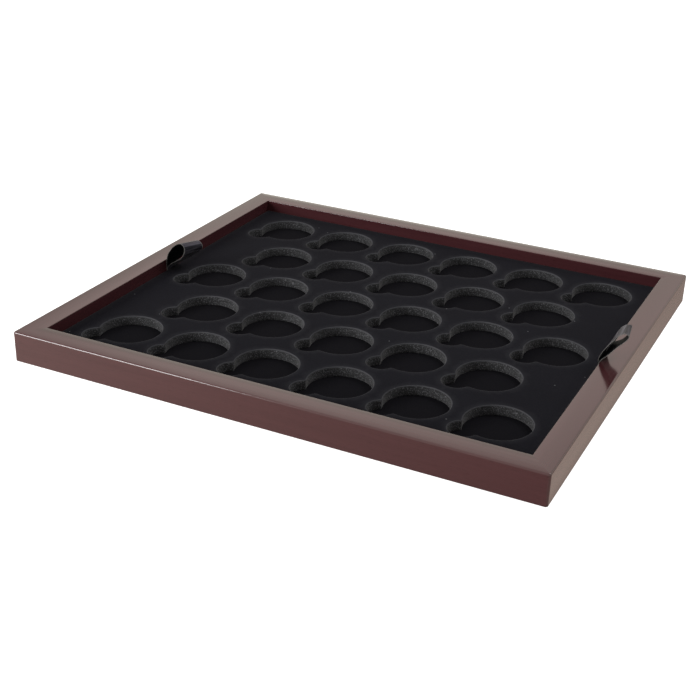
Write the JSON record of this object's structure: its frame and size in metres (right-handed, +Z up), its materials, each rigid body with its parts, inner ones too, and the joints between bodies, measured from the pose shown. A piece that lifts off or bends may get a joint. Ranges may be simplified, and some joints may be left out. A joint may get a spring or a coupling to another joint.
{
  "type": "coin capsule tray",
  "caption": "Shallow lacquered wooden tray with a lift-out flocked foam insert of round notched pockets for coins in capsules, lifted by two ribbon loops.",
  "frame": {"origin": "middle of the frame in plan, on the plane that the rails' undersides rest on", "axes": "+X along the long rails to the right, +Y to the back, +Z up"},
  "size_m": [0.4, 0.3532, 0.0477],
  "materials": {
    "mahogany_lacquer": "gloss lacquer",
    "bare_hardwood": "sanded, bare",
    "steel_pin": "bright",
    "black_felt": "matted felt",
    "grey_card": "uncoated card",
    "black_velvet": "short pile",
    "charcoal_foam": "cut closed-cell foam",
    "black_flock": "flocked",
    "black_satin": "satin weave",
    "paper_tape": "crepe paper"
  },
  "bodies": {
    "frame": {"front_rail": "mahogany_lacquer", "back_rail": "mahogany_lacquer", "left_rail": "mahogany_lacquer", "right_rail": "mahogany_lacquer", "mitre_splines": "bare_hardwood", "base_panel": "bare_hardwood", "panel_pins": "steel_pin", "base_felt": "black_felt"},
    "insert": {"insert_board": "grey_card", "pocket_lining": "black_velvet", "foam_core": "black_flock", "left_ribbon_tail": "black_satin", "right_ribbon_tail": "black_satin", "left_anchor_tape": "paper_tape", "right_anchor_tape": "paper_tape"},
    "left_loop": {"left_ribbon_loop": "black_satin"},
    "right_loop": {"right_ribbon_loop": "black_satin"}
  },
  "joints": [
    {"name": "insert_lift", "type": "slide", "parent": "frame", "child": "insert", "axis": [0, 0, 1], "range_m": [0, 0.06]},
    {"name": "left_loop_swing", "type": "hinge", "parent": "insert", "child": "left_loop", "pos_m": [-0.182, 0, 0.0146], "axis": [0, 1, 0], "range_deg": [-25, 35]},
    {"name": "right_loop_swing", "type": "hinge", "parent": "insert", "child": "right_loop", "pos_m": [0.182, -0.007, 0.0239], "axis": [0, 1, 0], "range_deg": [-110, 40]}
  ]
}
